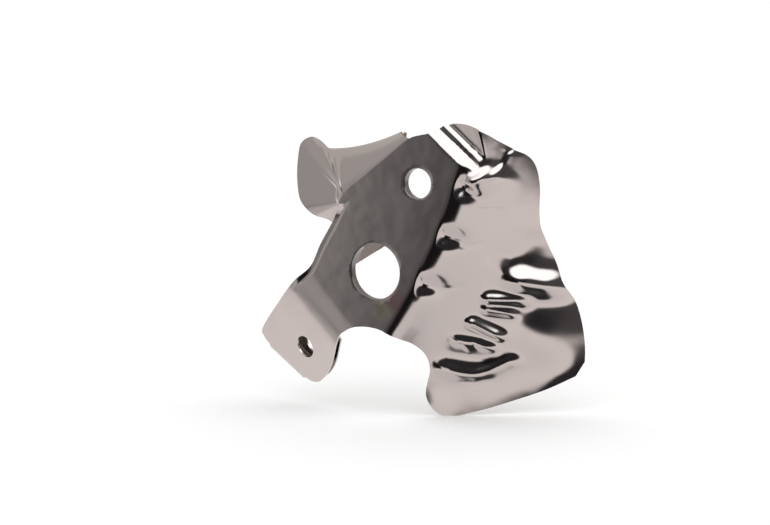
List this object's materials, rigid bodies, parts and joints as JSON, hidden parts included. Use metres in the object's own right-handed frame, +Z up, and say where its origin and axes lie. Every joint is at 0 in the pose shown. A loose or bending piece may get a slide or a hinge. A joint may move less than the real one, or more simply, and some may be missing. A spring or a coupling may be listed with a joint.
{
  "type": "exhaust heat shield",
  "caption": "Pressed sheet heat shield: flat panel with collared holes, folded tab, bent wing with darts and a folded-back ear.",
  "frame": {"origin": "centre of the upper hole, on the front face of the panel", "axes": "-Y out of the panel's front face, +Z up as in the picture, +X towards the wing"},
  "size_m": [0.1368, 0.0604, 0.1258],
  "materials": {
    "bright_sheet": "bright rolled aluminised sheet, glossy, with soft pressing marks"
  },
  "bodies": {
    "root": {"heat_shield": "bright_sheet"}
  },
  "joints": []
}
